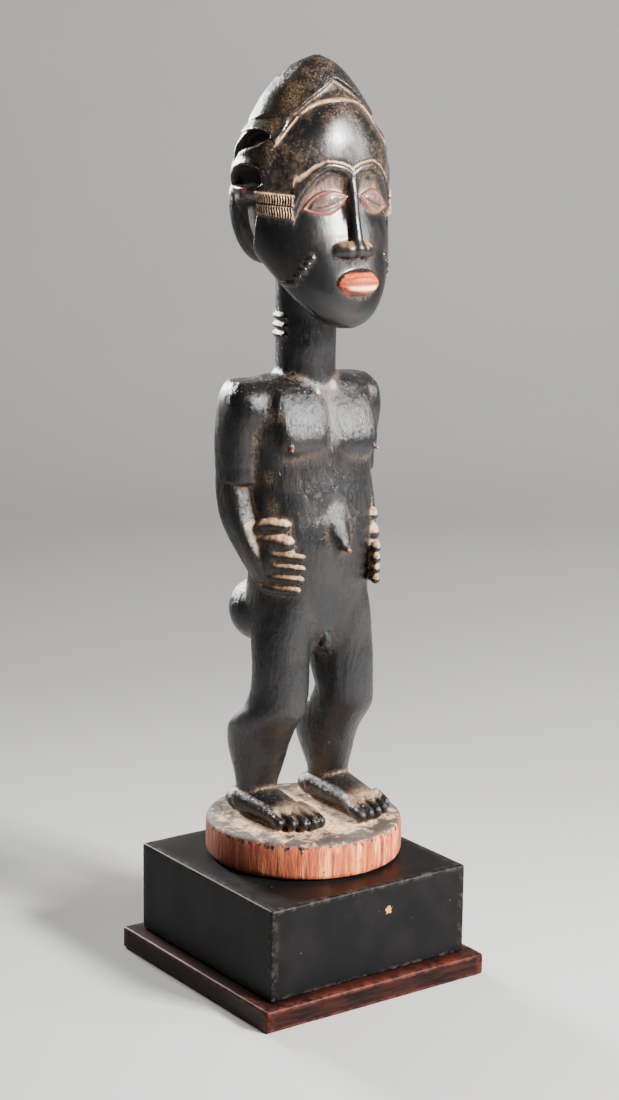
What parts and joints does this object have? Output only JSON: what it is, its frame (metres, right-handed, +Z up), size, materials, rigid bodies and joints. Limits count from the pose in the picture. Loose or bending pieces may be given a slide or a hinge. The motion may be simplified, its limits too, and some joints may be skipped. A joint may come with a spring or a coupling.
{
  "type": "standing male figure on a plinth",
  "caption": "Carved wooden man standing with his hands on his belly, on a round base, a square block and a thin board.",
  "frame": {"origin": "centre of the board's underside", "axes": "+Z up, the figure faces -Y, +X towards the figure's own left"},
  "size_m": [0.141, 0.141, 0.4832],
  "materials": {
    "carved_wood": "dark rubbed patina over carved wood, bare at the edge of the round base",
    "block_paint": "black satin paint with rubbed edges",
    "board_wood": "dark red-brown stained wood with worn edges"
  },
  "bodies": {
    "root": {"figure": "carved_wood", "plinth_block": "block_paint", "plinth_board": "board_wood"}
  },
  "joints": []
}
